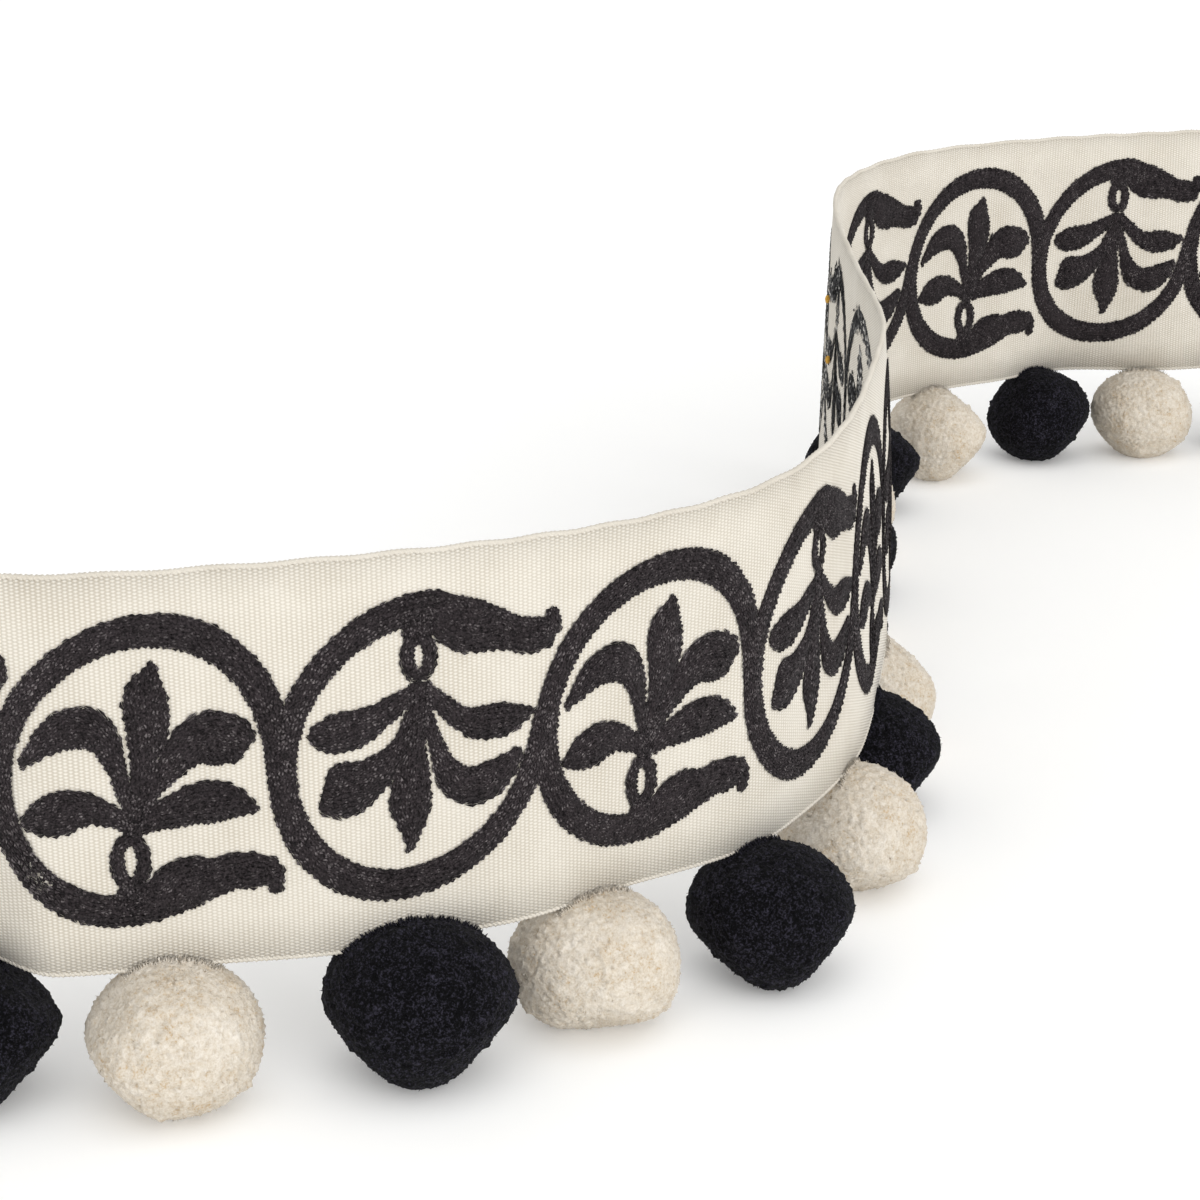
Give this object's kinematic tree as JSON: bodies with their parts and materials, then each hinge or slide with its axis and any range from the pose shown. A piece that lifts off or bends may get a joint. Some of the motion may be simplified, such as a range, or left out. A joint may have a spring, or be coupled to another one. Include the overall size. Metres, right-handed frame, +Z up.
{
  "type": "pompom braid trim",
  "caption": "Cut length of embroidered grosgrain braid with clipped pompoms along its lower edge, standing on edge in a loose S.",
  "frame": {"origin": "on the floor, under the middle of the trim's box", "axes": "+Z up, +X to the right along the near stretch, +Y away from the viewer, towards the far stretch"},
  "size_m": [0.4888, 0.5356, 0.1208],
  "materials": {
    "tape": "matte woven grosgrain, ecru",
    "pompom_cream": "matte clipped yarn, cream",
    "pompom_navy": "matte clipped yarn, navy",
    "embroidery": "chain stitch in charcoal yarn"
  },
  "bodies": {
    "root": {"tape": "tape", "pompom_01_cream": "pompom_cream", "pompom_02_navy": "pompom_navy", "pompom_03_cream": "pompom_cream", "pompom_04_navy": "pompom_navy", "pompom_05_cream": "pompom_cream", "pompom_06_navy": "pompom_navy", "pompom_07_cream": "pompom_cream", "pompom_08_navy": "pompom_navy", "pompom_09_cream": "pompom_cream", "pompom_10_navy": "pompom_navy", "pompom_11_cream": "pompom_cream", "pompom_12_navy": "pompom_navy", "pompom_13_cream": "pompom_cream", "pompom_14_navy": "pompom_navy", "pompom_15_cream": "pompom_cream", "pompom_16_navy": "pompom_navy", "pompom_17_cream": "pompom_cream", "pompom_18_navy": "pompom_navy"}
  },
  "joints": []
}
